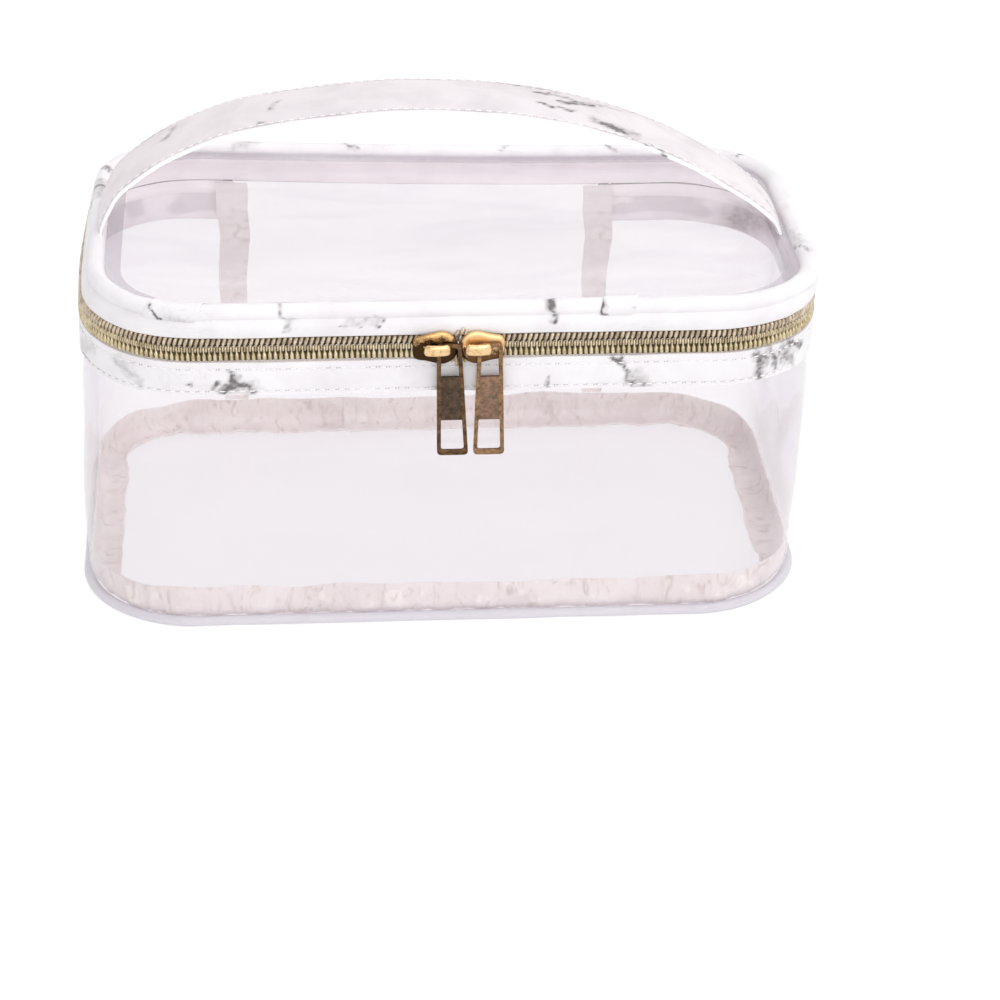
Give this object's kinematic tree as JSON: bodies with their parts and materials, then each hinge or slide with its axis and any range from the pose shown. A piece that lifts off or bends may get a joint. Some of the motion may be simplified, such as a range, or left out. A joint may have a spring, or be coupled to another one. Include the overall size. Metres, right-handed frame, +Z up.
{
  "type": "makeup train case",
  "caption": "Soft see-through makeup train case with a zipped, hinged lid, marble-print trim, zipper sliders with pull tabs and a flat strap handle over the lid.",
  "frame": {"origin": "middle of the flat underside of the case, on the surface it stands on", "axes": "+X to the right seen from the front, +Y to the rear hinge side, +Z up"},
  "size_m": [0.25, 0.1556, 0.1645],
  "materials": {
    "clear_sheet": "clear flexible vinyl sheet",
    "clear_bead": "milky vinyl bead",
    "marble_trim": "white marble-print synthetic leather with soft grey veins",
    "trim_lining": "pale pinkish-grey cloth backing",
    "seam_tape": "beige seam tape, wrinkled",
    "teeth": "metallised olive-gold zipper teeth",
    "gold": "polished gold-plated casting",
    "antique_gold": "dark antique gold, finely textured plate"
  },
  "bodies": {
    "body": {"bottom_panel": "clear_sheet", "bottom_piping": "clear_bead", "bottom_tape": "seam_tape", "bottom_tape_lap": "seam_tape", "wall_panel": "clear_sheet", "rear_panel": "clear_sheet", "wall_band": "marble_trim", "rear_seam_left": "seam_tape", "rear_seam_right": "seam_tape", "lower_zip_tape": "trim_lining", "lower_teeth": "teeth", "zip_stop_left": "gold", "zip_stop_right": "gold"},
    "lid": {"lid_panel": "clear_sheet", "lid_rim": "marble_trim", "rim_sleeve_left": "marble_trim", "rim_sleeve_right": "marble_trim", "lid_tape": "trim_lining", "lid_band": "marble_trim", "hinge_strip": "trim_lining", "upper_zip_tape": "trim_lining", "upper_teeth": "teeth", "handle_anchor_left": "marble_trim", "handle_anchor_right": "marble_trim"},
    "handle": {"handle_strap": "marble_trim", "handle_lining": "marble_trim"},
    "slider_left": {"slider_left": "gold", "bail_left": "gold"},
    "tab_left": {"pull_left": "antique_gold"},
    "slider_right": {"slider_right": "gold", "bail_right": "gold"},
    "tab_right": {"pull_right": "antique_gold"}
  },
  "joints": [
    {"name": "lid_hinge", "type": "hinge", "parent": "body", "child": "lid", "pos_m": [0, 0.075, 0.1047], "axis": [-1, 0, 0], "range_deg": [0, 105]},
    {"name": "handle_swing", "type": "hinge", "parent": "lid", "child": "handle", "pos_m": [0, 0, 0.1205], "axis": [1, 0, 0], "range_deg": [-30, 30], "stiffness_Nm_per_rad": 0.06},
    {"name": "zip_left", "type": "slide", "parent": "body", "child": "slider_left", "axis": [1, 0, 0], "range_m": [-0.072, 0]},
    {"name": "zip_right", "type": "slide", "parent": "body", "child": "slider_right", "axis": [1, 0, 0], "range_m": [0, 0.062]},
    {"name": "pull_left_swing", "type": "hinge", "parent": "slider_left", "child": "tab_left", "pos_m": [-0.00035, -0.0779, 0.1047], "axis": [0, 1, 0], "range_deg": [0, 45]},
    {"name": "pull_right_swing", "type": "hinge", "parent": "slider_right", "child": "tab_right", "pos_m": [0.01315, -0.0779, 0.1047], "axis": [0, 1, 0], "range_deg": [-90, 0]}
  ]
}
